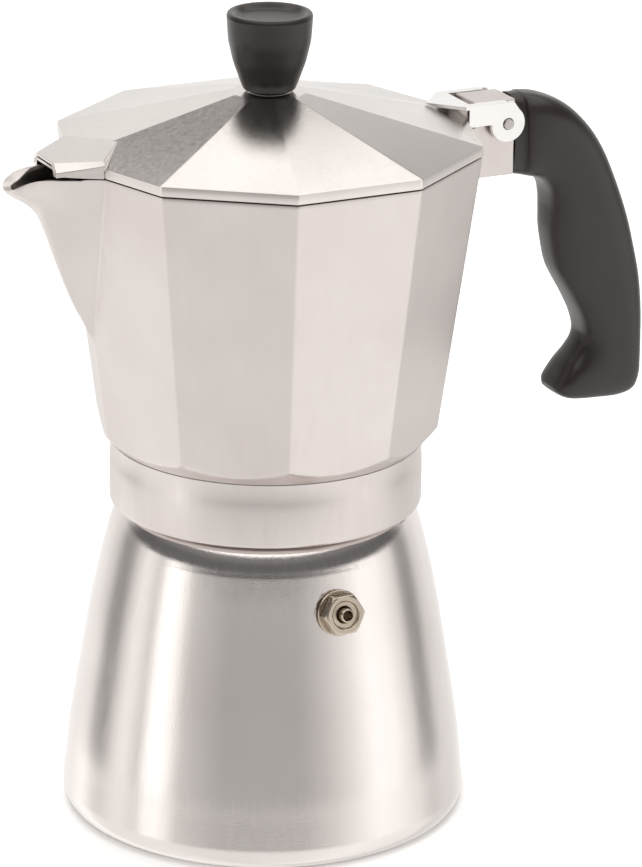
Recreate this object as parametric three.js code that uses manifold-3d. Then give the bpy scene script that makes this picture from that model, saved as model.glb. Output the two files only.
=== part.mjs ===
import * as THREE from 'three';
import { mergeVertices } from 'three/addons/utils/BufferGeometryUtils.js';
import Module from 'manifold-3d';

// Stovetop espresso pot (moka pot), 6-cup size. Millimetres, +Z up.
// Origin: centre of the boiler's flat bottom. Handle toward +X, spout toward -X.

// ---- driving dimensions ----
const BOILER_SEG = 40;          // facets of the round pieces
const NECK_TOP = 94.5;          // top of the boiler's threaded neck
const NECK_BORE = 31.5;         // inner radius of the neck
const NECK_ROOT = 35;           // root radius of the outer thread
const THREAD_PITCH = 3;         // thread rise per turn
const COLLAR_R = 39.85;         // outer radius of the collector's collar
const COLLAR_BOTTOM = 82.1;
const COLLAR_BORE = 36.9;       // root radius of the inner thread
const BODY_TOP = 175.1;         // rim of the collector
const BODY_R_TOP = 53.85;       // decagon circumradius at the rim
const BODY_TAPER = 0.1356;      // circumradius growth per mm of height
const BODY_WALL = 3.2;
const FLOOR_TOP = 103.6;        // collector floor
const LID_R = 54;               // decagon circumradius of the lid
const LID_BOTTOM = 175.4;
const LID_RIM_TOP = 178;
const LID_CONE_TOP = 191.25;    // height where the lid's ridges would meet
const CLEARANCE = 0.3;          // gap between neighbouring pieces
const PIN_X = 63.4, PIN_Z = 175.4;   // lid hinge pin
const POST_HALF = 5.3;          // half width of the hinge post
const CHEEK_HALF = 5.3;         // half width of the grip between the hinge ears
const CHEEK_X = 70.3;           // end of that narrow part of the grip
const SLOT_HALF = 5.7;          // half width of the bracket's slot over the post
const SLOT_X = 53.2;            // front edge of that slot
const EAR_IN = 6.9, EAR_OUT = 8.2;   // hinge ears
const EAR_R = 4.7;
const JOINT_X = 66.8;           // metal to handle joint face
const HANDLE_SCREW_X = 74;
const VALVE_R = 42.5, VALVE_Z = 65.1, VALVE_TILT = 0.2;
const GLUE = 46;                // spout skin starts this deep inside the body

const wasm = await Module();
wasm.setup();

// ---- solids ----
function solid(source) {
  let geo = source.clone();
  geo.deleteAttribute('normal');
  geo.deleteAttribute('uv');
  geo = mergeVertices(geo, 1e-4);
  const p = geo.attributes.position.array, ix = geo.index.array, tri = [];
  let volume = 0;
  for (let i = 0; i < ix.length; i += 3) {
    const [a, b, c] = [ix[i], ix[i + 1], ix[i + 2]];
    if (a === b || b === c || a === c) continue;
    tri.push(a, b, c);
    const A = [p[3 * a], p[3 * a + 1], p[3 * a + 2]];
    const B = [p[3 * b], p[3 * b + 1], p[3 * b + 2]];
    const C = [p[3 * c], p[3 * c + 1], p[3 * c + 2]];
    volume += A[0] * (B[1] * C[2] - B[2] * C[1]) + A[1] * (B[2] * C[0] - B[0] * C[2])
      + A[2] * (B[0] * C[1] - B[1] * C[0]);
  }
  if (volume < 0) {
    for (let i = 0; i < tri.length; i += 3) [tri[i], tri[i + 1]] = [tri[i + 1], tri[i]];
  }
  return new wasm.Manifold(new wasm.Mesh({
    numProp: 3, vertProperties: new Float32Array(p), triVerts: new Uint32Array(tri) }));
}

function geometryOf(man) {
  const m = man.getMesh(), geo = new THREE.BufferGeometry();
  geo.setAttribute('position', new THREE.BufferAttribute(new Float32Array(m.vertProperties), 3));
  geo.setIndex(new THREE.BufferAttribute(new Uint32Array(m.triVerts), 1));
  geo.computeVertexNormals();
  return geo;
}

// profile [r, z] turned about Z; the first facet corner lies on +X
function lathe(profile, seg = BOILER_SEG) {
  const geo = new THREE.LatheGeometry(profile.map(([r, z]) => new THREE.Vector2(r, z)), seg, Math.PI / 2);
  return solid(geo.rotateX(Math.PI / 2));
}

function ring(r0, r1, z0, z1, seg = BOILER_SEG) {
  return lathe([[r0, z0], [r1, z0], [r1, z1], [r0, z1], [r0, z0]], seg);
}

function disc(r, z0, z1, seg = BOILER_SEG) {
  return lathe([[0, z0], [r, z0], [r, z1], [0, z1]], seg);
}

function box(x0, x1, y0, y1, z0, z1) {
  const geo = new THREE.BoxGeometry(x1 - x0, y1 - y0, z1 - z0);
  return solid(geo.translate((x0 + x1) / 2, (y0 + y1) / 2, (z0 + z1) / 2));
}

function shapeOf(points) {
  return new THREE.Shape(points.map(([x, y]) => new THREE.Vector2(x, y)));
}

// outline in the XZ plane, extruded along Y between y0 and y1
function slabXZ(points, y0, y1) {
  const geo = new THREE.ExtrudeGeometry(shapeOf(points), { depth: y1 - y0, bevelEnabled: false });
  return solid(geo.rotateX(Math.PI / 2).translate(0, y1, 0));
}

// outline in the XY plane, extruded along Z between z0 and z1
function slabXY(points, z0, z1) {
  const geo = new THREE.ExtrudeGeometry(shapeOf(points), { depth: z1 - z0, bevelEnabled: false });
  return solid(geo.translate(0, 0, z0));
}

// cylinder along Y
function barY(r, x, z, y0, y1, seg = 24) {
  const geo = new THREE.CylinderGeometry(r, r, y1 - y0, seg);
  return solid(geo.translate(x, (y0 + y1) / 2, z));
}

// closed skin through rings of the same point count, capped at both ends
function loft(rings) {
  const n = rings[0].length, pos = rings.flat(2), ix = [];
  for (let k = 0; k + 1 < rings.length; k++) {
    for (let i = 0; i < n; i++) {
      const a = k * n + i, b = k * n + (i + 1) % n;
      ix.push(a, b, a + n, b, b + n, a + n);
    }
  }
  const last = (rings.length - 1) * n;
  for (let i = 1; i + 1 < n; i++) ix.push(0, i + 1, i, last, last + i, last + i + 1);
  const geo = new THREE.BufferGeometry();
  geo.setAttribute('position', new THREE.BufferAttribute(new Float32Array(pos), 3));
  geo.setIndex(ix);
  return solid(geo);
}

// helical thread ridge from radius ra (buried foot) to rb (crest)
function thread(ra, rb, z0, turns, footW, crestW) {
  const steps = Math.round(turns * 20), rings = [];
  for (let i = 0; i <= steps; i++) {
    const a = 2 * Math.PI * turns * i / steps, z = z0 + THREAD_PITCH * turns * i / steps;
    const at = (r, dz) => [r * Math.cos(a), r * Math.sin(a), z + dz];
    rings.push([at(ra, -footW / 2), at(rb, -crestW / 2), at(rb, crestW / 2), at(ra, footW / 2)]);
  }
  return loft(rings);
}

// centres of a ring-by-ring hole pattern
function holeCentres(rings) {
  return rings.flatMap(([count, r]) => Array.from({ length: count }, (_, i) => {
    const a = 2 * Math.PI * i / count;
    return [r * Math.cos(a), r * Math.sin(a)];
  }));
}

function drill(body, centres, r, z0, z1) {
  const tools = centres.map(([x, y]) => disc(r, z0, z1, 6).translate([x, y, 0]));
  return body.subtract(wasm.Manifold.union(tools));
}

// ---- boiler ----
function boiler() {
  const outer = [[0, 0], [47.6, 0], [50.3, 0.8], [51.7, 2.7], [52, 4.6], [51.24, 12], [50.39, 20],
    [48.85, 30], [46.83, 42], [44.77, 54], [42.27, 66], [40.5, 73.2], [39.9, 75.2], [39.75, 77.6],
    [39, 80.2], [37.4, 81.8], [NECK_ROOT, 81.8],
    [NECK_ROOT, 93.9], [34.4, NECK_TOP], [NECK_BORE, NECK_TOP]];
  const inner = [[NECK_BORE, 80.5], [35.6, 77], [39.4, 66], [43.9, 42], [47.5, 20], [48.3, 9],
    [45.5, 4], [0, 4]];
  const ridge = thread(NECK_ROOT - 0.6, 36.3, 85.2, 2.5, 1.8, 0.9);
  const hole = new THREE.CylinderGeometry(4.4, 4.4, 24, 24).rotateX(Math.PI / 2);
  const bore = solid(hole.applyMatrix4(valveMatrix()));
  return lathe([...outer, ...inner]).add(ridge).subtract(bore);
}

// ---- safety valve, modelled along its own +Z (outward), placed on the boiler wall ----
function valveMatrix() {
  const m = new THREE.Matrix4().makeRotationX(Math.PI / 2 - VALVE_TILT);
  return m.setPosition(0, -VALVE_R, VALVE_Z);
}

function valveBody() {
  const chamfer = lathe([[0, 1.2], [5.7, 1.2], [5.7, 4.1], [4.9, 4.7], [0, 4.7]], 24);
  const hex = disc(5.6, 1.4, 4.6, 6).intersect(chamfer);
  const shank = lathe([[0, -7.4], [4, -7.4], [4, 1.6], [0, 1.6]], 24);
  return hex.add(shank).subtract(disc(3.2, -8, 1.8, 24)).subtract(disc(2.1, 1, 6, 24))
    .subtract(disc(3.5, 3.9, 6, 24));
}

function valvePlunger() {
  return lathe([[0, -4.9], [2.9, -4.9], [2.9, -3.9], [1.8, -3.9], [1.8, 5.6], [1.55, 5.9], [1.35, 5.9],
    [1.35, -1], [0, -1]], 24);
}

function valveSeat() {
  return ring(1.2, 2.9, -6.9, -5.2, 24);
}

function valveSpring() {
  const turns = 4, z0 = -3.25, z1 = 1.15, points = [];
  for (let i = 0; i <= turns * 12; i++) {
    const a = 2 * Math.PI * i / 12;
    const z = z0 + (z1 - z0) * i / (turns * 12);
    points.push(new THREE.Vector3(2.5 * Math.cos(a), 2.5 * Math.sin(a), z));
  }
  const wire = new THREE.Shape();
  wire.absarc(0, 0, 0.28, 0, 2 * Math.PI);
  return solid(new THREE.ExtrudeGeometry(wire, { steps: turns * 16, curveSegments: 3, bevelEnabled: false,
    extrudePath: new THREE.CatmullRomCurve3(points) }));
}

// ---- funnel ----
function funnelBasket() {
  return lathe([[6.4, 55], [6.4, 59.5], [28.6, 62.6], [29.6, 63.6], [30.8, 66], [30.8, 94.8], [34.4, 94.8],
    [34.4, 95.6], [29.9, 95.6], [29.9, 66.2], [28.3, 66.2], [28.3, 64], [9.2, 61.2], [5.3, 60.3], [5.3, 55],
    [6.4, 55]], 40);
}

function funnelPlate() {
  const holes = holeCentres([[6, 8], [12, 16], [16, 24]]);
  return drill(disc(29.5, 66.5, 67.3, 40), [[0, 0], ...holes], 0.95, 66, 68);
}

function funnelTube() {
  return lathe([[4, 12], [5, 12], [5, 60.7], [6.6, 61.15], [6.6, 61.9], [4, 61.9], [4, 12]], 24);
}

// ---- seal ----
function gasket() {
  return ring(27.8, 35.2, 95.9, 99.2);
}

function filterPlate() {
  const plate = lathe([[0, 99.8], [26.5, 99.8], [27, 99.5], [34.6, 99.5], [34.6, 100.2], [27.3, 100.2],
    [26.8, 100.5], [0, 100.5]]);
  return drill(plate, holeCentres([[6, 8], [12, 16], [16, 24]]), 0.8, 99, 101);
}

// ---- collector ----
function bodyR(z) {
  return BODY_R_TOP - (BODY_TOP - z) * BODY_TAPER;
}

// rows of the spout: height, keel distance, nose length, nose half width
const SPOUT = [[130, 47.9, 0.2, 0.1], [134, 49.9, 0.5, 0.4], [141, 53.6, 0.8, 0.9], [150, 57.2, 1.1, 1.3],
  [160, 60.8, 1.4, 2.1], [164.5, 62.8, 1.7, 2.7], [167, 65, 2, 3.2], [169, 68, 2.4, 3.7],
  [170.6, 70.3, 2.6, 4.1], [172, 71.4, 2.8, 4.4], [BODY_TOP, 71.9, 2.9, 4.6]];

function spoutLoft(inset, zMin, zTop, root) {
  const rows = SPOUT.filter(([z]) => z >= zMin);
  if (rows[rows.length - 1][0] < zTop) rows.push([zTop, ...SPOUT[SPOUT.length - 1].slice(1)]);
  return loft(rows.map(([z, keel, nose, half]) => {
    const yw = Math.max(0.15, 12.4 * (Math.min(z, BODY_TOP) - 129.5) / 45.6 - inset);
    const xw = bodyR(z) - 0.325 * yw, xk = keel - 1.25 * inset;
    const xm = xw + 0.46 * (xk - xw), yn = Math.max(0.08, half - 0.8 * inset);
    const side = [[-root, yw], [-xw, yw], [-xm, Math.max(yn, yw * 0.62)], [-(xk - nose), yn]];
    const all = [...side, [-xk, 0], ...side.slice().reverse().map(([x, y]) => [x, -y])];
    return all.map(([x, y]) => [x, y, z]);
  }));
}

function collectorShell() {
  const round = lathe([[0, COLLAR_BOTTOM], [38.3, COLLAR_BOTTOM], [39.4, 82.6], [COLLAR_R, 83.7],
    [COLLAR_R, 99.5], [62, 121.65], [62, 180], [0, 180]]);
  const faceted = lathe([[0, 80], [62, 80], [62, 98.5], [bodyR(98.5), 98.5], [BODY_R_TOP, BODY_TOP],
    [0, BODY_TOP]], 10);
  return round.intersect(faceted);
}

function hingePost() {
  const profile = [[49, 161], [JOINT_X, 161], [JOINT_X, 181], [55.4, 181], [55, 180.4], [55, 174.6],
    [49, 174.6]];
  const post = slabXZ(profile, -POST_HALF, POST_HALF);
  const tang = box(JOINT_X - 1, 82, -2.4, 2.4, 164, 176);
  const screwHole = disc(1.9, 150, 180, 16).translate([HANDLE_SCREW_X, 0, 0]);
  return post.add(tang.subtract(screwHole)).subtract(barY(1.6, PIN_X, PIN_Z, -12, 12));
}

function collector() {
  const inside = lathe([[0, FLOOR_TOP], [bodyR(FLOOR_TOP) - BODY_WALL - 0.6, FLOOR_TOP],
    [bodyR(108) - BODY_WALL, 108], [bodyR(180) - BODY_WALL, 180], [0, 180]], 10);
  const socket = lathe([[0, 80], [COLLAR_BORE, 80], [COLLAR_BORE, 95.6], [35.7, 95.6], [35.7, 100.9],
    [0, 100.9]]);
  const ridge = thread(COLLAR_BORE + 1.2, 35.6, 85.2 - THREAD_PITCH / 2, 2.6, 1.5, 0.8);
  const lipCut = slabXZ([[-54.4, 176.5], [-54.4, 174.8], [-65.5, 174.8], [-69, 173.9],
    [-71.2, 172.3], [-76, 171.6], [-76, 176.5]], -20, 20);
  const body = collectorShell().add(spoutLoft(0, 130, BODY_TOP, GLUE)).subtract(lipCut).add(hingePost());
  return body.subtract(inside).subtract(spoutLoft(1.7, 141, 177, 40)).subtract(socket)
    .add(ridge).subtract(disc(3.4, 98, 110, 24));
}

function columnTube() {
  return lathe([[3.4, 103.9], [9, 103.9], [9, 105], [7.4, 106.5], [6.6, 110], [5.2, 157], [5.2, 158.6],
    [3.4, 158.6], [3.4, 103.9]], 32);
}

function columnCap() {
  const cap = lathe([[5.5, 154.5], [6.9, 154.5], [6.9, 163.5], [5.6, 165.6], [3, 166.8], [0, 167.1],
    [0, 165.2], [3, 164.8], [5.5, 162.6], [5.5, 154.5]], 32);
  return cap.subtract(box(-10, 10, -2.4, 2.4, 159.2, 163.2));
}

// ---- lid ----
// rows of the spout cover: x, flat height, flat half width, edge height, edge half width
const COVER = [[-40.5, 180.4, 3, 179.5, 8], [-48.6, 180, 4.6, 178.5, 13], [-54, 179.4, 4.4, 177.6, 10],
  [-60.5, 178.7, 4, 176.9, 6.9]];
const COVER_PLATE = 1.3;        // thickness of the cover's edge
const SKIRT_INSET = 0.9;        // the skirt stands this far inside the edge
const SKIRT_DROP = 0.15;        // and its top this far below the cover's

// the cover narrowed by inset and lowered by drop, reaching down to under(z)
function coverRoof(inset, drop, under) {
  return loft(COVER.map(([x, zf, hf, ze, he]) => {
    const h = he - inset;
    const top = [[-h, ze - drop], [-hf, zf - drop], [hf, zf - drop], [h, ze - drop]];
    const low = [[h, under(ze)], [hf, under(zf)], [-hf, under(zf)], [-h, under(ze)]];
    return [...top, ...low].map(([y, z]) => [x, y, z]);
  }));
}

function lid() {
  const shell = lathe([[0, 189.3], [5.4, 189.3], [5.4, 188.95], [9.4, 188.95],
    [LID_R - 0.2, LID_RIM_TOP + 0.03], [LID_R, LID_RIM_TOP - 0.25], [LID_R, LID_BOTTOM], [49.6, LID_BOTTOM],
    [49.6, 173], [48, 173], [48, 177.2], [8, 186.9], [0, 186.9]], 10);
  const lipGap = box(-60, -40, -11, 11, 170, LID_BOTTOM);
  const reliefHalf = POST_HALF + 0.6;
  const postGap = box(52.6, 56, -reliefHalf, reliefHalf, 170, 182);
  const throat = slabXY([[-59.3, -4.6], [-54, -7.4], [-46, -11], [-44, -11], [-44, 11], [-46, 11],
    [-54, 7.4], [-59.3, 4.6]], 170, 177);
  const plate = coverRoof(0, 0, (z) => z - COVER_PLATE);
  const skirt = coverRoof(SKIRT_INSET, SKIRT_DROP, () => LID_BOTTOM);
  const below = box(-62, -43, -20, 20, 170, LID_BOTTOM);
  const screwHole = disc(2.3, 180, 195, 20);
  const cover = plate.add(skirt).subtract(below);
  return shell.subtract(lipGap).add(cover).subtract(throat).subtract(postGap).subtract(screwHole);
}

function hingeBracket() {
  const plate = slabXY([[43.9, 0], [51.2, -EAR_OUT], [PIN_X, -EAR_OUT], [PIN_X, -SLOT_HALF],
    [SLOT_X, -SLOT_HALF], [SLOT_X, SLOT_HALF], [PIN_X, SLOT_HALF], [PIN_X, EAR_OUT], [51.2, EAR_OUT]],
  180.2, 181.1);
  const roof = lathe([[0, LID_CONE_TOP + CLEARANCE], [LID_R, LID_RIM_TOP + CLEARANCE],
    [LID_R, 170], [0, 170]], 10);
  const side = [[52.2, 175.6], [PIN_X, 175.6], [PIN_X, 181], [52.2, 181]];
  const back = [[PIN_X - 2, PIN_Z], [PIN_X + 4.2, PIN_Z + 2], [PIN_X + 1.6, 181], [PIN_X - 2, 181]];
  const arm = (a, b) => slabXZ(side, a, b).add(barY(EAR_R, PIN_X, PIN_Z, a, b, 32)).add(slabXZ(back, a, b));
  return plate.subtract(roof).add(arm(-EAR_OUT, -EAR_IN)).add(arm(EAR_IN, EAR_OUT))
    .subtract(barY(1.55, PIN_X, PIN_Z, -12, 12));
}

function hingePin() {
  return barY(1.25, PIN_X, PIN_Z, -8.7, 8.7);
}

// ---- knob ----
function knob() {
  return lathe([[0, 201.5], [2.3, 201.5], [2.3, 189.6], [6.3, 189.6], [6.6, 190], [7.3, 191.7], [8.05, 193.8],
    [8.6, 195.3], [9.1, 196.8], [9.5, 198.4], [9.85, 200], [10.2, 201.6], [10.4, 203], [10.6, 206],
    [10.75, 208.3], [10.3, 209.1], [9.2, 209.2], [7.6, 208.2], [7, 207.9], [0, 207.6]], 28);
}

function knobScrew() {
  const body = lathe([[0, 184], [3.4, 184], [3.8, 184.4], [3.8, 185.9], [1.9, 185.9], [1.9, 200.5],
    [1.4, 201], [0, 201]], 24);
  return body.subtract(box(-5, 5, -0.5, 0.5, 183, 184.9));
}

function knobWasher() {
  return ring(2.3, 5.4, 186.15, 186.6, 24);
}

// ---- handle ----
// rows of the grip in the XZ plane: outer edge x, z, inner edge x, z, half thickness in Y
const GRIP = [[60, 181.3, 60, 160, 7.2], [70.5, 181.2, 72, 159.2, 7.2], [76, 179.9, 76, 157.8, 7.5],
  [82.5, 176.9, 78.4, 154.6, 7.5], [88, 171.6, 79.1, 150.8, 7.5], [92.8, 164.4, 79.3, 147.2, 7.5],
  [97, 155, 79.6, 143.2, 7.5], [100.5, 145.4, 80.8, 137.6, 7.5], [103, 136.5, 82.6, 133.2, 7.5],
  [105, 128.8, 84.6, 129.6, 7.5], [106.4, 120.4, 87.4, 124.4, 7.5], [107.1, 112.6, 89.3, 119.2, 7.5],
  [107.2, 105.5, 89.9, 115, 7.5], [106.3, 100.2, 89.3, 112.2, 7.5], [103.4, 97.2, 88, 110, 7.5],
  [96.8, 96, 86.2, 108.3, 7.4], [89.9, 96.8, 84.5, 107, 7.2], [84, 99.1, 82.4, 105.9, 6.6],
  [80, 101.6, 80.2, 105.7, 5.6], [78.1, 103.1, 78.5, 105.1, 4.2]];

function handle() {
  const rings = GRIP.map(([xo, zo, xi, zi, w]) => {
    const span = Math.hypot(xo - xi, zo - zi), cut = Math.min(3.4, 0.45 * span, 0.7 * w);
    const pts = [];
    for (const [su, sv, quarter] of [[1, 1, 0], [0, 1, 1], [0, -1, 2], [1, -1, 3]]) {
      for (let k = 0; k <= 3; k++) {
        const a = (quarter + k / 3) * Math.PI / 2;
        const u = (su ? span - cut : cut) + cut * Math.cos(a);
        const v = sv * (w - cut) + cut * Math.sin(a);
        pts.push([xi + (xo - xi) * u / span, v, zi + (zo - zi) * u / span]);
      }
    }
    return pts;
  });
  const cheeks = box(50, CHEEK_X, CHEEK_HALF, 10, 150, 190).add(box(50, CHEEK_X, -10, -CHEEK_HALF, 150, 190));
  const pocket = box(60, 82.4, -2.75, 2.75, 163.6, 176.4);
  const screw = disc(1.9, 150, 176, 16).add(disc(3.4, 150, 161, 16)).translate([HANDLE_SCREW_X, 0, 0]);
  const post = box(50, JOINT_X + 0.3, -12, 12, 150, 190);
  return loft(rings).subtract(post).subtract(cheeks).subtract(pocket).subtract(screw);
}

function handleScrew() {
  const body = lathe([[0, 159.4], [3, 159.4], [3, 160.7], [1.5, 160.7], [1.5, 175.2], [0, 175.8]], 16);
  return body.subtract(box(-4, 4, -0.4, 0.4, 159, 160.1)).translate([HANDLE_SCREW_X, 0, 0]);
}

// ---- assembly ----
function metal(color, roughness) {
  return new THREE.MeshStandardMaterial({ color, roughness, metalness: 1 });
}

function plain(color, roughness) {
  return new THREE.MeshStandardMaterial({ color, roughness, metalness: 0 });
}

const castAlu = metal(0xcfcac4, 0.42);
const polished = metal(0xd8d5d2, 0.22);
const lidAlu = metal(0xcdc9c6, 0.28);
const steel = metal(0xd2d2d4, 0.25);
const nickel = metal(0xc9bfae, 0.3);
const sheet = metal(0xc4c4c2, 0.4);
const bakelite = plain(0x3a3533, 0.5);
const rubber = plain(0xe4e0d6, 0.7);

const pot = new THREE.Group();
function place(name, man, material, parent = pot) {
  const mesh = new THREE.Mesh(geometryOf(man), material);
  mesh.name = name;
  parent.add(mesh);
}

place('boiler', boiler(), polished);
const valve = new THREE.Group();
valve.applyMatrix4(valveMatrix());
pot.add(valve);
place('valve_washer', ring(4.4, 5.9, 0.35, 1.1, 24), nickel, valve);
place('valve_body', valveBody(), nickel, valve);
place('valve_seat', valveSeat(), rubber, valve);
place('valve_spring', valveSpring(), steel, valve);
place('valve_plunger', valvePlunger(), nickel, valve);
place('funnel_basket', funnelBasket(), sheet);
place('funnel_plate', funnelPlate(), sheet);
place('funnel_tube', funnelTube(), sheet);
place('gasket', gasket(), rubber);
place('filter_plate', filterPlate(), sheet);
place('collector', collector(), castAlu);
place('column_tube', columnTube(), castAlu);
place('column_cap', columnCap(), castAlu);
place('lid', lid(), lidAlu);
place('hinge_bracket', hingeBracket(), steel);
place('hinge_pin', hingePin(), steel);
place('knob', knob(), bakelite);
place('knob_screw', knobScrew(), steel);
place('knob_washer', knobWasher(), steel);
place('handle', handle(), bakelite);
place('handle_screw', handleScrew(), steel);

export default pot;
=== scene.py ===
import bpy
import bmesh
import math
import numpy as np
from mathutils import Matrix, Vector

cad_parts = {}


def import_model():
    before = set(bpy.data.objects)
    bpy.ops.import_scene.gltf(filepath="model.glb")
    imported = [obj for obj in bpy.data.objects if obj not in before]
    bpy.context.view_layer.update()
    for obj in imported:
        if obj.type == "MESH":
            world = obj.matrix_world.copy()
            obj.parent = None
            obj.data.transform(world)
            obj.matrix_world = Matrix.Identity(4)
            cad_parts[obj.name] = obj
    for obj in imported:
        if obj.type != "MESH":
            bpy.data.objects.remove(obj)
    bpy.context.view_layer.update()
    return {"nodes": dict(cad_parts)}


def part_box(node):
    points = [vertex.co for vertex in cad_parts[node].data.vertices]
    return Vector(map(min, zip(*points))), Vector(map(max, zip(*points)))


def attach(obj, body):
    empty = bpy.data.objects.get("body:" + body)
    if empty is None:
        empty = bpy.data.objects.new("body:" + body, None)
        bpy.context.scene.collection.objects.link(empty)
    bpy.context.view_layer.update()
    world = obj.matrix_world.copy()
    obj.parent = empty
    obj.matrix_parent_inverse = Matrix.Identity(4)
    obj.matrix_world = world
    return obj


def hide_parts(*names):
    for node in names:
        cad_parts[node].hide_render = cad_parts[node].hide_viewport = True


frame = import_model()

MM = 0.001
# shared sizes, in millimetres, as in the CAD frame
BODY_TOP, BODY_R_TOP, BODY_SLOPE, BODY_WALL = 175.1, 53.85, 0.1356, 3.2
COLLAR_R, COLLAR_BOTTOM, FLOOR_TOP = 39.85, 82.1, 103.6
LID_R, LID_BOTTOM = 54.0, 175.4
PITCH = 3.0
POST_HALF = 5.3         # half width of the hinge post
TANG_HALF = 2.4         # half width of the tang inside the grip
PIN_X, PIN_Z = 63.4, 175.4
PIN_GROWTH = 1.14       # the pin's thickness against its CAD node
CORNER_R = 1.6          # rounding of the decagon's upright edges
HALF_SECTOR = math.radians(18)
COLLAR_TOP = 99.5       # the collar's top, where the decagon starts
COLLAR_ROUND = 1.6      # rounding of the collar's lower edge
VALVE_TILT = 0.2        # radians that the safety valve leans up from level
VALVE_HOLE_R = 4.4
TURNED_SIDES = 176      # sides of the boiler
HELIX_SIDES = 64        # thread steps to the turn
WELD = 2e-6             # metres within which CAD vertices are one
FLAT_ANGLE = 1.5        # degrees under which CAD faces are one
CAP_SIDES = 24          # sides of the plugs at the axis


# ---------------------------------------------------------------- meshes
def piece(name, verts, faces, material, body, nodes, slot, sharp=32):
    """A closed mesh in millimetres, shaded smooth up to the sharp angle, riding on a CAD body."""
    mesh = bpy.data.meshes.new(name)
    mesh.from_pydata([(x * MM, y * MM, z * MM) for x, y, z in verts], [], faces)
    bm = bmesh.new()
    bm.from_mesh(mesh)
    bmesh.ops.recalc_face_normals(bm, faces=bm.faces)
    bm.to_mesh(mesh)
    bm.free()
    return finish_piece(name, mesh, material, body, nodes, slot, sharp)


def finish_piece(name, mesh, material, body, nodes, slot, sharp):
    obj = bpy.data.objects.new(name, mesh)
    bpy.context.scene.collection.objects.link(obj)
    shade(mesh, sharp)
    mesh.materials.clear()
    mesh.materials.append(material)
    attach(obj, body)
    if nodes:
        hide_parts(*nodes)
    return obj


def shade(mesh, sharp):
    mesh.polygons.foreach_set("use_smooth", [True] * len(mesh.polygons))
    mesh.set_sharp_from_angle(angle=math.radians(sharp))
    mesh.update()


def round_edges(obj, width, segments, angle):
    """Bevel the edges over the angle and keep the flat faces flat-shaded."""
    mod = obj.modifiers.new("bevel", "BEVEL")
    mod.width, mod.segments, mod.limit_method = width * MM, segments, "ANGLE"
    mod.angle_limit = math.radians(angle)
    mod.use_clamp_overlap = True
    normals = obj.modifiers.new("normals", "WEIGHTED_NORMAL")
    normals.weight, normals.keep_sharp = 100, True
    apply_modifiers(obj)


def apply_modifiers(obj):
    deps = bpy.context.evaluated_depsgraph_get()
    mesh = bpy.data.meshes.new_from_object(obj.evaluated_get(deps))
    obj.modifiers.clear()
    obj.data = mesh


def loop_grid(rows, wrap_rows=True):
    """Faces between rings of the same length; the last ring joins the first, or both ends are capped."""
    n, m = len(rows[0]), len(rows)
    verts = [p for row in rows for p in row]
    last = m if wrap_rows else m - 1
    faces = [(k * n + i, k * n + (i + 1) % n, (k + 1) % m * n + (i + 1) % n, (k + 1) % m * n + i)
             for k in range(last) for i in range(n)]
    if not wrap_rows:
        faces += [tuple(range(n)), tuple((m - 1) * n + i for i in range(n))]
    return verts, faces


def revolve(profile, segments):
    """A closed profile [r, z] turned about the Z axis."""
    angles = [2 * math.pi * i / segments for i in range(segments)]
    rows = [[(r * math.cos(a), r * math.sin(a), z) for a in angles] for r, z in profile]
    return loop_grid(rows)


def rounded(profile, radius, steps=3):
    """The profile with each corner cut by a short arc of about the given radius."""
    out, n = [], len(profile)
    for i, p in enumerate(profile):
        p = np.array(p, float)
        a, b = np.array(profile[i - 1], float) - p, np.array(profile[(i + 1) % n], float) - p
        la, lb = np.linalg.norm(a), np.linalg.norm(b)
        turn = math.pi - math.acos(max(-1, min(1, float(a @ b) / (la * lb))))
        if turn < math.radians(20):
            out.append(tuple(p))
            continue
        cut = min(radius * math.tan(turn / 2), 0.45 * la, 0.45 * lb)
        s, e = p + a / la * cut, p + b / lb * cut
        for k in range(steps + 1):
            t = k / steps
            q = (1 - t) ** 2 * s + 2 * t * (1 - t) * p + t * t * e
            out.append(tuple(q))
    return out


def spline(points, steps=6):
    """Catmull-Rom curve through the points."""
    pts = [np.array(p, float) for p in points]
    pts = [2 * pts[0] - pts[1], *pts, 2 * pts[-1] - pts[-2]]
    out = []
    for i in range(1, len(pts) - 2):
        a, b, c, d = pts[i - 1:i + 3]
        for k in range(steps):
            t = k / steps
            out.append(tuple(0.5 * (2 * b + (c - a) * t + (2 * a - 5 * b + 4 * c - d) * t ** 2
                                    + (3 * b - a - 3 * c + d) * t ** 3)))
    return out + [tuple(pts[-2])]


def bevelled(node, width, material, body, slot, sharp=32, segments=2):
    """A copy of a CAD node with its sharp edges rounded."""
    mesh = frame["nodes"][node].data.copy()
    bm = bmesh.new()
    bm.from_mesh(mesh)
    bmesh.ops.remove_doubles(bm, verts=bm.verts, dist=WELD)
    bmesh.ops.dissolve_limit(bm, angle_limit=math.radians(FLAT_ANGLE), verts=bm.verts, edges=bm.edges)
    bm.to_mesh(mesh)
    bm.free()
    obj = finish_piece(node + "_fine", mesh, material, body, [node], slot, sharp)
    round_edges(obj, width, segments, 28)
    return obj


def helix(name, root, crest, z0, turns, foot, top, material, body, slot):
    """A thread ridge that fades in and out at its ends."""
    steps = round(turns * HELIX_SIDES)
    rows = []
    for i in range(steps + 1):
        a, z = 2 * math.pi * turns * i / steps, z0 + PITCH * turns * i / steps
        fade = min(1, 8 * i / steps, 8 * (steps - i) / steps)
        tip = root + (crest - root) * max(0.15, fade)
        rows.append([(r * math.cos(a), r * math.sin(a), z + dz) for r, dz in
                     ((root, -foot / 2), (tip, -top / 2), (tip, top / 2), (root, foot / 2))])
    verts, faces = loop_grid(rows, wrap_rows=False)
    return piece(name, verts, faces, material, body, [], slot, 40)


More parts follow.
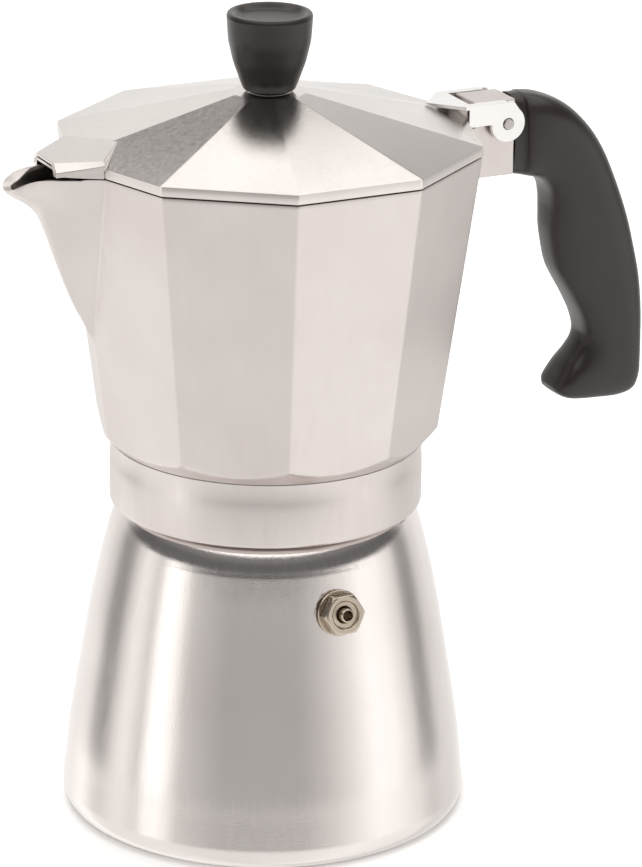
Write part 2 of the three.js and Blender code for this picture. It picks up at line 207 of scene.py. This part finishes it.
# ---------------------------------------------------------------- materials
def shader(name):
    """A new material, its nodes, its links and its shader."""
    mat = bpy.data.materials.new(name)
    mat.use_nodes = True
    return mat, mat.node_tree.nodes, mat.node_tree.links, mat.node_tree.nodes["Principled BSDF"]


def noise_chain(nodes, links, scale, stretch, detail=4.0):
    """Object-space noise, stretched by the given factors."""
    coords = nodes.new("ShaderNodeTexCoord")
    mapping = nodes.new("ShaderNodeMapping")
    mapping.inputs["Scale"].default_value = stretch
    noise = nodes.new("ShaderNodeTexNoise")
    noise.inputs["Scale"].default_value = scale
    noise.inputs["Detail"].default_value = detail
    links.new(coords.outputs["Object"], mapping.inputs["Vector"])
    links.new(mapping.outputs["Vector"], noise.inputs["Vector"])
    return noise


def ramp(nodes, links, source, low, high, a=0.3, b=0.7):
    """The source, mapped from a..b to low..high."""
    node = nodes.new("ShaderNodeMapRange")
    node.inputs["From Min"].default_value = a
    node.inputs["From Max"].default_value = b
    node.inputs["To Min"].default_value = low
    node.inputs["To Max"].default_value = high
    links.new(source, node.inputs["Value"])
    return node.outputs["Result"]


def tint(nodes, links, source, dark, light):
    """A colour between dark and light, by the source."""
    node = nodes.new("ShaderNodeValToRGB")
    node.color_ramp.elements[0].position, node.color_ramp.elements[1].position = 0.3, 0.7
    node.color_ramp.elements[0].color = (*dark, 1)
    node.color_ramp.elements[1].color = (*light, 1)
    links.new(source, node.inputs["Fac"])
    return node.outputs["Color"]


def bump(nodes, links, height, strength, distance, previous=None):
    node = nodes.new("ShaderNodeBump")
    node.inputs["Strength"].default_value = strength
    node.inputs["Distance"].default_value = distance
    links.new(height, node.inputs["Height"])
    if previous is not None:
        links.new(previous, node.inputs["Normal"])
    return node.outputs["Normal"]


def aluminium(name, dark, light, rough, grain, grain_bump, speckle_bump=0.0, speckle=2600):
    """Metal with a stretched grain and, where asked, a fine cast or ground speckle."""
    mat, nodes, links, bsdf = shader(name)
    bsdf.inputs["Metallic"].default_value = 1.0
    broad = noise_chain(nodes, links, 28, (1, 1, 1), 3)
    fine = noise_chain(nodes, links, grain[0], grain[1], 5)
    links.new(tint(nodes, links, broad.outputs["Fac"], dark, light), bsdf.inputs["Base Color"])
    links.new(ramp(nodes, links, fine.outputs["Fac"], rough[0], rough[1]), bsdf.inputs["Roughness"])
    normal = bump(nodes, links, fine.outputs["Fac"], grain_bump, 0.0001)
    if speckle_bump:
        spots = noise_chain(nodes, links, speckle, (1, 1, 1), 2)
        normal = bump(nodes, links, spots.outputs["Fac"], speckle_bump, 0.0001, normal)
    links.new(normal, bsdf.inputs["Normal"])
    return mat


def plastic(name, dark, light, rough):
    """Moulded plastic or rubber with a very fine grain."""
    mat, nodes, links, bsdf = shader(name)
    bsdf.inputs["Specular IOR Level"].default_value = 0.5
    broad = noise_chain(nodes, links, 60, (1, 1, 1), 3)
    fine = noise_chain(nodes, links, 1500, (1, 1, 1), 3)
    links.new(tint(nodes, links, broad.outputs["Fac"], dark, light), bsdf.inputs["Base Color"])
    links.new(ramp(nodes, links, broad.outputs["Fac"], rough[0], rough[1]), bsdf.inputs["Roughness"])
    links.new(bump(nodes, links, fine.outputs["Fac"], 0.12, 0.0001), bsdf.inputs["Normal"])
    return mat


cast = aluminium("cast_aluminium", (0.68, 0.625, 0.605), (0.74, 0.69, 0.665), (0.28, 0.36),
                 (700, (1, 1, 0.12)), 0.10, 0.12)
spun = aluminium("polished_aluminium", (0.75, 0.70, 0.68), (0.82, 0.77, 0.75), (0.10, 0.18),
                 (900, (1, 1, 0.05)), 0.07, 0.16)
ground = aluminium("lid_aluminium", (0.71, 0.665, 0.645), (0.78, 0.735, 0.71), (0.15, 0.23),
                   (900, (1, 1, 1)), 0.05, 0.22, 4200)
sheet = aluminium("sheet_aluminium", (0.62, 0.62, 0.61), (0.72, 0.72, 0.71), (0.30, 0.42),
                  (500, (1, 1, 1)), 0.08)
steel = aluminium("steel", (0.86, 0.85, 0.84), (0.94, 0.93, 0.92), (0.16, 0.26),
                  (900, (0.1, 1, 1)), 0.06)
pin_steel = aluminium("pin_steel", (0.52, 0.485, 0.47), (0.60, 0.56, 0.545), (0.28, 0.38),
                      (900, (1, 1, 1)), 0.06)
nickel = aluminium("nickel_brass", (0.52, 0.45, 0.37), (0.62, 0.54, 0.45), (0.22, 0.34),
                   (1200, (1, 1, 1)), 0.10, 0.10)
bakelite = plastic("handle_plastic", (0.014, 0.0105, 0.009), (0.020, 0.0155, 0.0135), (0.27, 0.36))
rubber = plastic("seal_rubber", (0.70, 0.68, 0.62), (0.78, 0.76, 0.70), (0.55, 0.68))


# ---------------------------------------------------------------- boiler
def boiler():
    wall = spline([(52, 4.6), (51.24, 12), (50.39, 20), (48.85, 30), (46.83, 42), (44.77, 54), (42.27, 66),
                   (40.5, 73.2), (39.94, 75.2), (39.34, 77), (38.46, 78.9), (37.45, 80.45), (36.2, 81.7)], 5)
    foot = [(0.6, 0), (47.4, 0), (49.2, 0.25), (50.5, 0.95), (51.4, 2.1), (51.85, 3.3)]
    neck = rounded([(35, 81.8), (35, 93.9), (34.4, 94.5), (31.5, 94.5), (31.5, 80.5)], 0.35)
    inside = spline([(35.6, 77), (39.4, 66), (43.9, 42), (47.5, 20), (48.3, 9), (45.5, 4)], 4)
    verts, faces = revolve(foot + wall + neck + inside + [(0.6, 4)], TURNED_SIDES)
    obj = piece("boiler_fine", verts, faces, spun, "boiler", ["boiler"], "polished_aluminium")
    valve_hole(obj)
    shade(obj.data, 32)
    piece("boiler_centre", *disc_plug(0.7, 0.0, 4.0), spun, "boiler", [], "polished_aluminium")
    helix("boiler_thread", 34.6, 36.3, 85.2, 2.5, 1.8, 0.9, spun, "boiler", "polished_aluminium")


def valve_hole(obj):
    """The hole in the boiler's wall that the valve's shank passes through."""
    low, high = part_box("valve_body")
    outward = Vector((0, -math.cos(VALVE_TILT), math.sin(VALVE_TILT)))
    turn = Vector((0, 0, 1)).rotation_difference(outward).to_matrix().to_4x4()
    bm = bmesh.new()
    bmesh.ops.create_cone(bm, cap_ends=True, segments=48, radius1=VALVE_HOLE_R * MM,
                          radius2=VALVE_HOLE_R * MM, depth=0.03)
    bmesh.ops.transform(bm, matrix=Matrix.Translation((low + high) / 2) @ turn, verts=bm.verts)
    subtract(obj, bm)


def subtract(obj, bm):
    """Cut the shape in bm out of the piece."""
    mesh = bpy.data.meshes.new("cut")
    bm.to_mesh(mesh)
    bm.free()
    tool = bpy.data.objects.new("cut", mesh)
    bpy.context.scene.collection.objects.link(tool)
    mod = obj.modifiers.new("cut", "BOOLEAN")
    mod.object, mod.operation, mod.solver = tool, "DIFFERENCE", "EXACT"
    apply_modifiers(obj)
    bpy.data.objects.remove(tool)


def disc_plug(radius, z0, z1):
    """A short solid rod that fills the opening at the axis of a turned piece."""
    angles = [2 * math.pi * i / CAP_SIDES for i in range(CAP_SIDES)]
    rows = [[(radius * math.cos(a), radius * math.sin(a), z) for a in angles] for z in (z0, z1)]
    return loop_grid(rows, wrap_rows=False)


# ---------------------------------------------------------------- ten-sided shapes
def decagon_radius(angle, circum, corner):
    """Distance from the axis to a rounded decagon, with a corner on +X."""
    phi = abs((angle + HALF_SECTOR) % (2 * HALF_SECTOR) - HALF_SECTOR)
    reach = corner * math.tan(HALF_SECTOR)
    limit = math.atan2(reach * math.cos(HALF_SECTOR), circum - reach * math.sin(HALF_SECTOR))
    if phi > limit:
        return circum * math.cos(HALF_SECTOR) / math.cos(HALF_SECTOR - phi)
    centre = circum - corner / math.cos(HALF_SECTOR)
    return centre * math.cos(phi) + math.sqrt(max(0, corner ** 2 - (centre * math.sin(phi)) ** 2))


CORNER_STEPS = (-15, -11, -7, -3.5, -0.7, -0.45, -0.2, 0, 0.2, 0.45, 0.7, 3.5, 7, 11, 15, 18)
SPOUT_ANGLE = 16        # degrees to each side that the spout's close steps cover


def columns(spout=False):
    """Angles round the pot, close together at the corners and, where asked, over the spout."""
    angles = set()
    for k in range(10):
        for d in CORNER_STEPS:
            angles.add(round((36 * k + d) % 360, 3))
    if spout:
        angles = {a for a in angles if abs(a - 180) > SPOUT_ANGLE}
        angles |= {round(180 + 0.5 * i, 3) for i in range(-2 * SPOUT_ANGLE, 2 * SPOUT_ANGLE + 1)}
    return [math.radians(a) for a in sorted(angles)]


def body_r(z):
    return BODY_R_TOP - (BODY_TOP - z) * BODY_SLOPE


# height, keel distance, nose length, nose half width
SPOUT = [(129.5, 47.6, 0.2, 0.1), (134, 49.9, 0.5, 0.4), (141, 53.6, 0.8, 0.9), (150, 57.2, 1.1, 1.3),
         (160, 60.8, 1.4, 2.1), (164.5, 62.8, 1.7, 2.7), (167, 65, 2, 3.2), (169, 68, 2.4, 3.7),
         (170.6, 70.3, 2.6, 4.1), (172, 71.4, 2.8, 4.4), (BODY_TOP, 71.9, 2.9, 4.6)]
SPOUT_FINE = np.array(spline(SPOUT, 8))
SPOUT_START = SPOUT[0][0]           # height where the spout starts
SPOUT_RISE = 45.6                   # and its height from there to the rim
SPOUT_HALF = 12.4                   # half width where it meets the body at the rim
SPOUT_WALL = 1.7
SPOUT_REACH = 0.35                  # radians to each side beyond which there is no spout


def spout_radius(angle, z, inset):
    """Distance from the axis to the spout's skin, or 0 away from it.

    The skin in plan runs from the body's wall (xw, yw) past a waist xm to the nose (xk - nose, yn)
    and round to the keel xk.
    """
    off = abs(angle - math.pi)
    if off > SPOUT_REACH or z < SPOUT_START + 0.1 + 6 * inset:
        return 0
    keel, nose, half = (float(np.interp(z, SPOUT_FINE[:, 0], SPOUT_FINE[:, k])) for k in (1, 2, 3))
    yw = SPOUT_HALF * (min(z, BODY_TOP) - SPOUT_START) / SPOUT_RISE - inset
    if yw <= 0.1:
        return 0
    xw, xk, yn = body_r(z) - 0.325 * yw, keel - 1.25 * inset, max(0.08, half - 0.8 * inset)
    xm = xw + 0.46 * (xk - xw)
    line = spline([(xw, yw), (xm, max(yn, yw * 0.62)), (xk - nose, yn), (xk - 0.25 * nose, yn * 0.55),
                   (xk, 0)], 6)
    polar = sorted((math.atan2(y, x), math.hypot(x, y)) for x, y in line if x > 0)
    a = [p[0] for p in polar]
    if off > a[-1]:
        return 0
    return float(np.interp(off, a, [p[1] for p in polar]))


# reach toward the spout's tip, rim height
LIP = ([54.4, 55.2, 65.0, 67.5, 69.5, 71.0, 71.9], [175.05, 174.8, 174.8, 174.3, 173.4, 172.4, 171.7])


def lip_height(angle):
    """Top of the collector's rim at an angle: level on the body, dipping to the spout's tip."""
    reach = spout_radius(angle, 174.8, 0) * math.cos(angle - math.pi)
    if reach < LIP[0][0]:
        return BODY_TOP
    return float(np.interp(reach, *LIP))


WALL_ROWS = 76          # rows up the collector's wall
INNER_FOOT = 106        # height where the inner wall starts above the floor's rounding


def collector():
    angles = columns(spout=True)
    low = [COLLAR_TOP + 0.25 * i for i in range(28)]
    rows = []

    def row(radius, height):
        rows.append([(radius(a) * math.cos(a), radius(a) * math.sin(a), height(a)) for a in angles])

    def round_row(r, z):
        row(lambda a: r, lambda a: z)

    def skin(angle, z, inset):
        r = decagon_radius(angle, body_r(z) - inset, CORNER_R)
        if not inset:
            r = min(r, COLLAR_R + max(0, z - COLLAR_TOP))
        return max(r, spout_radius(angle, z, SPOUT_WALL if inset else 0))

    def wall_row(inset, start, margin, part):
        def height(a):
            return start + part * (lip_height(a) - margin - start)
        row(lambda a: skin(a, height(a), inset), height)

    collar = [(36.9, COLLAR_BOTTOM), (COLLAR_R, COLLAR_BOTTOM), (COLLAR_R, 99.2)]
    for r, z in rounded(collar, COLLAR_ROUND, 5)[4:-3]:
        round_row(r, z)
    round_row(COLLAR_R, 99.0)
    round_row(COLLAR_R - 0.12, 99.25)
    for z in low[1:]:
        row(lambda a, z=z: skin(a, z, 0), lambda a, z=z: z)
    for i in range(1, WALL_ROWS + 1):
        wall_row(0, low[-1], 0.35, i / WALL_ROWS)
    row(lambda a: skin(a, lip_height(a), 0) - 0.12, lambda a: lip_height(a) - 0.08)
    row(lambda a: skin(a, lip_height(a), 0) - 0.4, lip_height)
    row(lambda a: skin(a, lip_height(a), BODY_WALL) + 0.35, lip_height)
    row(lambda a: skin(a, lip_height(a), BODY_WALL) + 0.08, lambda a: lip_height(a) - 0.12)
    for i in range(WALL_ROWS, 0, -1):
        wall_row(BODY_WALL, INNER_FOOT, 0.4, i / WALL_ROWS)
    row(lambda a: skin(a, 105.2, BODY_WALL + 0.5), lambda a: 104.4)
    row(lambda a: skin(a, 105.2, BODY_WALL + 1.6), lambda a: FLOOR_TOP)
    for r, z in [(30, FLOOR_TOP), (12, FLOOR_TOP), (3.4, FLOOR_TOP), (3.4, 100.9), (12, 100.9),
                 (35.4, 100.9), (35.7, 100.5), (35.7, 95.6), (36.9, 95.3), (36.9, 83.0), (37.3, 82.4),
                 (38.1, COLLAR_BOTTOM)]:
        round_row(r, z)
    verts, faces = loop_grid(rows)
    piece("collector_fine", verts, faces, cast, "collector", ["collector"], "cast_aluminium", 24)
    helix("collar_thread", 37.3, 35.6, 83.7, 2.6, 1.5, 0.8, cast, "collector", "cast_aluminium")
    hinge_post()


def prism(name, outline, half, material, body, slot, width):
    """An outline in the XZ plane, extruded along Y to both sides, with rounded edges."""
    bm = bmesh.new()
    near = [bm.verts.new((x * MM, -half * MM, z * MM)) for x, z in outline]
    face = bm.faces.new(near)
    moved = bmesh.ops.extrude_face_region(bm, geom=[face])
    up = [v for v in moved["geom"] if isinstance(v, bmesh.types.BMVert)]
    bmesh.ops.translate(bm, vec=(0, 2 * half * MM, 0), verts=up)
    bmesh.ops.recalc_face_normals(bm, faces=bm.faces)
    mesh = bpy.data.meshes.new(name)
    bm.to_mesh(mesh)
    bm.free()
    obj = finish_piece(name, mesh, material, body, [], slot, 30)
    round_edges(obj, width, 3, 25)


def hinge_post():
    outline = [(49.2, 161), (66.8, 161), (66.8, 181), (55.1, 181), (55.1, 174.6), (49.2, 174.6)]
    prism("hinge_post", outline, POST_HALF, cast, "collector", "cast_aluminium", 0.4)
    prism("handle_tang", [(66, 164), (82, 164), (82, 176), (66, 176)], TANG_HALF, cast, "collector",
          "cast_aluminium", 0.4)


# ---------------------------------------------------------------- lid
LID_ROUND_R = 7         # the lid is round inside this radius, under the knob


def lid():
    angles = columns()
    profile = rounded([(2.3, 189.3), (5.4, 189.3), (5.5, 188.95), (9.4, 188.95), (LID_R, 178.0),
                       (LID_R, LID_BOTTOM), (49.6, LID_BOTTOM), (49.6, 173), (48, 173), (48, 177.2),
                       (8, 186.9), (2.3, 186.9)], 0.3)
    rows = []
    for r, z in profile:
        corner = CORNER_R * 0.8 * r / LID_R
        reach = [r if r < LID_ROUND_R else decagon_radius(a, r, corner) for a in angles]
        rows.append([(k * math.cos(a), k * math.sin(a), z) for a, k in zip(angles, reach)])
    verts, faces = loop_grid(rows)
    obj = piece("lid_fine", verts, faces, ground, "lid", ["lid"], "lid_aluminium", 12)
    cut_box(obj, (-60, -11, 170), (-40, 11, LID_BOTTOM - 0.01))     # skirt, open toward the spout
    notch = POST_HALF + 0.6
    cut_box(obj, (52.6, -notch, 170), (56, notch, 182))             # rim, clear of the hinge post
    shade(obj.data, 12)
    spout_cover()


def cut_box(obj, low, high):
    """Cut the box between two corners out of the piece."""
    bm = bmesh.new()
    bmesh.ops.create_cube(bm, size=1)
    size = [h - l for l, h in zip(low, high)]
    mid = [(h + l) / 2 for l, h in zip(low, high)]
    bmesh.ops.scale(bm, vec=[s * MM for s in size], verts=bm.verts)
    bmesh.ops.translate(bm, vec=[m * MM for m in mid], verts=bm.verts)
    subtract(obj, bm)


# x, flat height, flat half width, edge height, edge half width
COVER = [(-41.1, 181, 0.4, 180.9, 0.7), (-50.2, 179.9, 12.2, 179, 13.5), (-55.5, 179.3, 8.7, 177.7, 10.4),
         (-60.5, 178.7, 5.2, 176.5, 7.1)]
COVER_PLATE = 1.2       # thickness of the cover
SKIRT_INSET = 0.9       # the skirt stands this far inside the edge


def cover_loft(inset, drop, floor):
    """The cover, narrowed and lowered; floor is the level it reaches down to, or None for a plate."""
    rings = []
    for x, zf, hf, ze, he in COVER:
        h, flat = max(0.3, he - inset), max(0.1, hf - inset)
        low = [z - COVER_PLATE if floor is None else floor for z in (ze, zf)]
        ring = [(-h, ze - drop), (-flat, zf - drop), (flat, zf - drop), (h, ze - drop),
                (h, low[0]), (flat, low[1]), (-flat, low[1]), (-h, low[0])]
        rings.append([(x, y, z) for y, z in ring])
    return loop_grid(rings, wrap_rows=False)


def spout_cover():
    for name, inset, drop, floor in (("spout_cover", 0, 0, None),
                                     ("spout_cover_skirt", SKIRT_INSET, 0.6, LID_BOTTOM)):
        verts, faces = cover_loft(inset, drop, floor)
        obj = piece(name, verts, faces, ground, "lid", [], "lid_aluminium", 25)
        if floor is not None:
            cut_box(obj, (-61, -5, 170), (-44, 5, 176.9))
        round_edges(obj, 0.25, 3, 20)


# ---------------------------------------------------------------- knob and handle
def knob():
    side = spline([(6.6, 190), (7.3, 191.7), (8.05, 193.8), (8.6, 195.3), (9.1, 196.8), (9.5, 198.4),
                   (9.85, 200), (10.2, 201.6), (10.4, 203), (10.6, 206), (10.7, 207.8)], 3)
    bead = [(10.73, 208.1), (10.62, 208.25), (10.72, 208.4), (10.6, 208.8), (10.3, 209.1), (9.8, 209.2),
            (9.1, 209.15), (8.5, 208.8), (7.9, 208.2), (7.0, 207.9), (4, 207.75), (0.3, 207.7)]
    verts, faces = revolve([(0.3, 201.5), (2.3, 201.5), (2.3, 189.6), (6.2, 189.6)] + side + bead, 112)
    piece("knob_fine", verts, faces, bakelite, "lid", ["knob"], "handle_plastic")
    piece("knob_centre", *disc_plug(0.4, 201.6, 207.7), bakelite, "lid", [], "handle_plastic")


GRIP_SIDES, GRIP_POWER = 40, 0.64      # points round the grip, and how square its section is
# outer edge x, z, inner edge x, z, half thickness
GRIP = [(67.15, 181.2, 67.15, 160.2, 5.2), (69.9, 181.2, 70.4, 159.5, 5.2), (71, 181.2, 71.8, 159.2, 6.9),
        (76, 180.4, 76, 157.8, 7.5), (82.5, 177.6, 78.4, 154.6, 7.5), (88.8, 172, 79, 150.8, 7.5),
        (93.9, 164.8, 78.9, 147.2, 7.5), (98.3, 155.3, 78.9, 143.2, 7.5), (101.9, 145.6, 79.8, 137.6, 7.5),
        (104.3, 136.7, 81, 133.2, 7.5), (106, 128.9, 82.9, 129.6, 7.5), (106.9, 120.4, 86, 124.4, 7.5),
        (107.1, 112.6, 88.7, 119.2, 7.5), (107.1, 105.5, 89.9, 115, 7.5), (106.9, 101.2, 89.4, 112.4, 7.5),
        (105.2, 97.5, 88.2, 110.6, 7.5), (100.5, 96.2, 86.9, 108.9, 7.5), (94, 96.4, 85.5, 107.2, 7.4),
        (89.4, 96.7, 84.4, 105.5, 7.2), (85.8, 97.2, 83.3, 103.8, 6.7), (83.4, 98.2, 82.3, 102.2, 5.8),
        (82, 99.3, 81.6, 100.7, 3.8)]


def handle():
    """The grip: rounded-square sections between the outer and the inner edge."""
    rings = []
    for xo, zo, xi, zi, w in spline(GRIP, 4):
        ring = []
        for k in range(GRIP_SIDES):
            a = 2 * math.pi * k / GRIP_SIDES
            u = 0.5 + 0.5 * math.copysign(abs(math.cos(a)) ** GRIP_POWER, math.cos(a))
            v = w * math.copysign(abs(math.sin(a)) ** GRIP_POWER, math.sin(a))
            ring.append((xi + (xo - xi) * u, v, zi + (zo - zi) * u))
        rings.append(ring)
    verts, faces = loop_grid(rings, wrap_rows=False)
    piece("handle_fine", verts, faces, bakelite, "collector", ["handle"], "handle_plastic", 50)


# ---------------------------------------------------------------- small parts
def small_parts():
    bevelled("hinge_bracket", 0.3, steel, "lid", "steel")
    pin = bevelled("hinge_pin", 0.2, pin_steel, "collector", "steel")
    axis = Matrix.Translation((PIN_X * MM, 0, PIN_Z * MM))
    pin.data.transform(axis @ Matrix.Diagonal((PIN_GROWTH, 1, PIN_GROWTH, 1)) @ axis.inverted())
    bevelled("valve_body", 0.3, nickel, "boiler", "nickel_brass")
    bevelled("valve_washer", 0.2, nickel, "boiler", "nickel_brass")
    bevelled("valve_plunger", 0.12, nickel, "valve", "nickel_brass", 40)
    looks = {"valve_seat": rubber, "valve_spring": steel, "funnel_basket": sheet, "funnel_plate": sheet,
             "funnel_tube": sheet, "gasket": rubber, "filter_plate": sheet, "column_tube": cast,
             "column_cap": cast, "knob_screw": steel, "knob_washer": steel, "handle_screw": steel}
    for node, material in looks.items():
        mesh = frame["nodes"][node].data
        mesh.materials.clear()
        mesh.materials.append(material)


# ---------------------------------------------------------------- set
FLOOR_HALF = 8          # metres


def floor():
    corners = [(x * FLOOR_HALF, y * FLOOR_HALF, 0) for x, y in ((-1, -1), (1, -1), (1, 1), (-1, 1))]
    mesh = bpy.data.meshes.new("floor")
    mesh.from_pydata(corners, [], [(0, 1, 2, 3)])
    obj = bpy.data.objects.new("floor", mesh)
    bpy.context.scene.collection.objects.link(obj)
    mat, _, _, bsdf = shader("floor")
    bsdf.inputs["Base Color"].default_value = (0.93, 0.925, 0.92, 1)
    bsdf.inputs["Roughness"].default_value = 0.6
    mesh.materials.append(mat)
    obj.visible_glossy = False


LIGHT_TARGET = (0, 0, 0.1)


def area(name, place, size, power, tone=(1, 1, 1)):
    """A soft light on the pot that doesn't show in the metal."""
    data = bpy.data.lights.new(name, "AREA")
    data.shape, data.size, data.size_y, data.energy, data.color = "RECTANGLE", size[0], size[1], power, tone
    obj = bpy.data.objects.new(name, data)
    obj.location = place
    obj.rotation_euler = (Vector(LIGHT_TARGET) - Vector(place)).to_track_quat("-Z", "Y").to_euler()
    obj.visible_glossy = False
    bpy.context.scene.collection.objects.link(obj)


# brightness round the room, by azimuth from -180 to 180 degrees as 0 to 1
WALL_TONES = [(0.0, 1.6), (0.02, 1.35), (0.04, 0.75), (0.073, 0.62), (0.114, 0.5), (0.242, 0.52),
              (0.284, 0.7), (0.331, 1.0), (0.373, 1.35), (0.414, 1.25), (0.456, 0.9), (0.480, 0.42),
              (0.505, 0.38), (0.534, 0.8), (0.581, 1.0), (0.776, 1.0), (0.823, 0.8), (0.852, 0.4),
              (0.88, 0.4), (0.9, 0.8), (0.925, 1.15), (0.945, 1.05), (0.964, 0.75), (0.982, 1.5),
              (1.0, 1.6)]
# brightness of the ground, by the same azimuth
GROUND_TONES = [(0.0, 1.1), (0.08, 0.98), (0.16, 0.98), (0.24, 1.08), (0.33, 1.2), (0.42, 1.1), (0.467, 1.08),
                (0.5, 0.88), (0.56, 0.86), (0.65, 1.0), (0.78, 1.1), (0.828, 1.4), (0.87, 1.1), (0.95, 1.1),
                (1.0, 1.1)]
# how far a dark band low in the sky shows, by azimuth
BAND_TONES = [(0.0, 1.0), (0.49, 1.0), (0.55, 0.0), (0.81, 0.0), (0.87, 1.0), (1.0, 1.0)]
BAND_BLEND = (0.15, 0.2)            # sine of the height angles where that band starts
BAND_DARK = 0.14                    # the band's brightness
WARMTH = (1, 0.985, 0.965)          # colour of all those tones
# brightness overhead, by the sine of the height angle
SKY_TONES = [(0.0, 0.22), (0.65, 0.22), (0.70, 1.5), (0.86, 1.4), (0.94, 0.9), (1.0, 0.85)]
GROUND_BLEND = (-0.325, -0.22)      # sine of the height angles where ground turns to wall
SKY_BLEND = (0.454, 0.508)          # and wall to sky


def tone_ramp(nodes, links, source, tones):
    """A colour of the brightness listed for the source's value."""
    node = nodes.new("ShaderNodeValToRGB")
    line = node.color_ramp
    line.elements[0].position, line.elements[1].position = tones[0][0], tones[-1][0]
    for position, _ in tones[1:-1]:
        line.elements.new(position)
    for element, (_, v) in zip(line.elements, tones):
        element.color = (*(v * w for w in WARMTH), 1)
    links.new(source, node.inputs["Fac"])
    return node.outputs["Color"]


def blend(nodes, links, source, limits, low, high):
    """The low colour below the limits, the high colour above them, and a mix between."""
    node = nodes.new("ShaderNodeMix")
    node.data_type = "RGBA"
    first, second = (i for i in node.inputs if i.type == "RGBA")
    links.new(ramp(nodes, links, source, 0, 1, *limits), node.inputs["Factor"])
    links.new(low, first)
    links.new(high, second)
    return next(o for o in node.outputs if o.type == "RGBA")


def world():
    """The room that the metal mirrors: ground, wall and sky, with a dark band low in the sky."""
    room = bpy.data.worlds.new("studio")
    room.use_nodes = True
    bpy.context.scene.world = room
    nodes, links = room.node_tree.nodes, room.node_tree.links
    coords = nodes.new("ShaderNodeTexCoord")
    split = nodes.new("ShaderNodeSeparateXYZ")
    angle = nodes.new("ShaderNodeMath")
    angle.operation = "ARCTAN2"
    links.new(coords.outputs["Generated"], split.inputs["Vector"])
    links.new(split.outputs["Y"], angle.inputs[0])
    links.new(split.outputs["X"], angle.inputs[1])
    azimuth = ramp(nodes, links, angle.outputs[0], 0, 1, -math.pi, math.pi)
    height = split.outputs["Z"]
    wall = tone_ramp(nodes, links, azimuth, WALL_TONES)
    ground_tone = tone_ramp(nodes, links, azimuth, GROUND_TONES)
    sky = tone_ramp(nodes, links, height, SKY_TONES)
    lower = blend(nodes, links, height, GROUND_BLEND, ground_tone, wall)
    band = nodes.new("ShaderNodeMath")
    band.operation = "MULTIPLY"
    links.new(tone_ramp(nodes, links, azimuth, BAND_TONES), band.inputs[0])
    links.new(ramp(nodes, links, height, 0, 1, *BAND_BLEND), band.inputs[1])
    dark = nodes.new("ShaderNodeRGB")
    dark.outputs[0].default_value = (BAND_DARK, BAND_DARK, BAND_DARK, 1)
    lower = blend(nodes, links, band.outputs[0], (0, 1), lower, dark.outputs[0])
    links.new(blend(nodes, links, height, SKY_BLEND, lower, sky), nodes["Background"].inputs["Color"])
    nodes["Background"].inputs["Strength"].default_value = 1.0


def lights():
    area("key", (-0.9, -1.1, 1.3), (0.9, 0.9), 12, (1, 0.985, 0.97))
    area("fill", (1.3, -0.7, 0.8), (0.5, 1.0), 5)
    area("top", (0.1, 0.2, 1.6), (1.2, 1.2), 16)


CAMERA_PLACE = (-0.493578, -1.029840, 0.503473)
CAMERA_TARGET = (0.012573, -0.006217, 0.098894)
CAMERA_LENS, CAMERA_SENSOR = 197.61, 36
CAMERA_ROLL = 0.78      # degrees


def camera():
    data = bpy.data.cameras.new("camera")
    data.lens, data.sensor_width, data.clip_start, data.clip_end = CAMERA_LENS, CAMERA_SENSOR, 0.01, 50
    obj = bpy.data.objects.new("camera", data)
    obj.location = CAMERA_PLACE
    look = (Vector(CAMERA_TARGET) - obj.location).to_track_quat("-Z", "Y").to_matrix().to_4x4()
    roll = Matrix.Rotation(math.radians(CAMERA_ROLL), 4, "Z")
    obj.rotation_euler = (look @ roll).to_euler()
    bpy.context.scene.collection.objects.link(obj)
    bpy.context.scene.camera = obj
    bpy.context.scene.view_settings.view_transform = "Standard"


boiler()
collector()
lid()
knob()
handle()
small_parts()
floor()
world()
lights()
camera()

bpy.context.view_layer.update()
